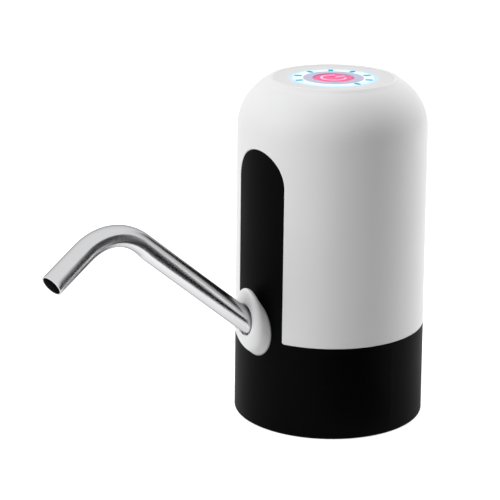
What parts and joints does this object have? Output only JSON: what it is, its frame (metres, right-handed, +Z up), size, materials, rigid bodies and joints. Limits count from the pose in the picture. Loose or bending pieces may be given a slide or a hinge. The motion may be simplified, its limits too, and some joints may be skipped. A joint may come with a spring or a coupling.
{
  "type": "electric water jug pump",
  "caption": "Battery pump for the neck of a water jug: white dome on a black base with an arched front panel, bent steel spout in a slanted collar, lit ring and push button on top.",
  "frame": {"origin": "on the body's axis at the foot, the plane that the pump stands on", "axes": "+Z up along the body's axis, the spout points along -Y, the charging socket is at +Y"},
  "size_m": [0.072, 0.1637, 0.1294],
  "materials": {
    "shell_white": "satin moulded white",
    "base_black": "fine matt moulded black",
    "spout_steel": "brushed stainless",
    "grip_silicone": "soft silicone",
    "clear_silicone": "milky silicone",
    "seal_red": "silicone",
    "fitting_ivory": "moulded",
    "pump_plastic": "glass-filled moulding",
    "gear_plastic": "acetal",
    "shaft_rubber": "rubber",
    "fastener_steel": "zinc plated",
    "motor_steel": "plated sheet steel",
    "magnet_ferrite": "sintered ferrite",
    "copper": "copper and bronze",
    "cell_wrap": "shrink wrap",
    "tab_nickel": "nickel strip",
    "circuit_board": "solder mask",
    "electronics": "moulded packages",
    "lamp": "clear resin",
    "ring_glow": "milky light guide",
    "mark_cyan": "lit window",
    "bezel_grey": "satin",
    "button_pink": "satin",
    "wire_red": "vinyl",
    "wire_white": "vinyl"
  },
  "bodies": {
    "housing": {"upper_shell": "shell_white", "spout_collar": "shell_white", "base_housing": "base_black", "neck_grip": "grip_silicone", "neck_gasket": "grip_silicone", "inlet_hose": "clear_silicone", "outlet_hose": "clear_silicone", "inlet_seal": "seal_red", "pump_gasket": "seal_red", "inlet_fitting": "fitting_ivory", "outlet_elbow": "fitting_ivory", "pump_cover": "pump_plastic", "pump_body": "pump_plastic", "inner_frame": "pump_plastic", "motor_end_cap": "pump_plastic", "shaft_seal": "shaft_rubber", "pump_screws": "fastener_steel", "motor_screws": "fastener_steel", "frame_screws": "fastener_steel", "main_board_screws": "fastener_steel", "control_board_screws": "fastener_steel", "idler_pin": "fastener_steel", "motor_can": "motor_steel", "motor_magnets": "magnet_ferrite", "motor_bushes": "copper", "motor_brushes": "copper", "battery_cell": "cell_wrap", "battery_tabs": "tab_nickel", "usb_port": "tab_nickel", "main_board": "circuit_board", "control_board": "circuit_board", "board_parts": "electronics", "usb_tongue": "electronics", "tact_switch": "electronics", "status_leds": "lamp", "light_ring": "ring_glow", "light_marks": "mark_cyan", "button_bezel": "bezel_grey", "battery_leads": "wire_red", "motor_leads": "wire_red", "control_lead": "wire_white"},
    "power_button": {"button_cap": "button_pink", "switch_plunger": "electronics"},
    "spout_sleeve": {"spout_seal": "clear_silicone"},
    "spout": {"spout_tube": "spout_steel"},
    "pump_drive": {"motor_armature": "motor_steel", "motor_windings": "copper", "commutator": "copper", "motor_shaft": "fastener_steel", "drive_gear": "gear_plastic"},
    "pump_idler": {"idler_gear": "gear_plastic"}
  },
  "joints": [
    {"name": "button_press", "type": "slide", "parent": "housing", "child": "power_button", "axis": [0, 0, -1], "range_m": [0, 0.0006], "stiffness_N_per_m": 800, "springref_m": -0.0004},
    {"name": "spout_swivel", "type": "hinge", "parent": "housing", "child": "spout_sleeve", "pos_m": [0, -0.036, 0.039], "axis": [0, -0.7727, 0.6347], "continuous": true},
    {"name": "spout_pull", "type": "slide", "parent": "spout_sleeve", "child": "spout", "axis": [0, -0.7727, 0.6347], "range_m": [0, 0.011]},
    {"name": "motor_spin", "type": "hinge", "parent": "housing", "child": "pump_drive", "pos_m": [-0.004, 0.004, 0.07], "axis": [0, 0, 1], "continuous": true},
    {"name": "idler_spin", "type": "hinge", "parent": "housing", "child": "pump_idler", "pos_m": [0.004, 0.004, 0.07], "axis": [0, 0, 1], "continuous": true}
  ],
  "couplings": [
    {"joint": "idler_spin", "follows": "motor_spin", "ratio": -1}
  ]
}
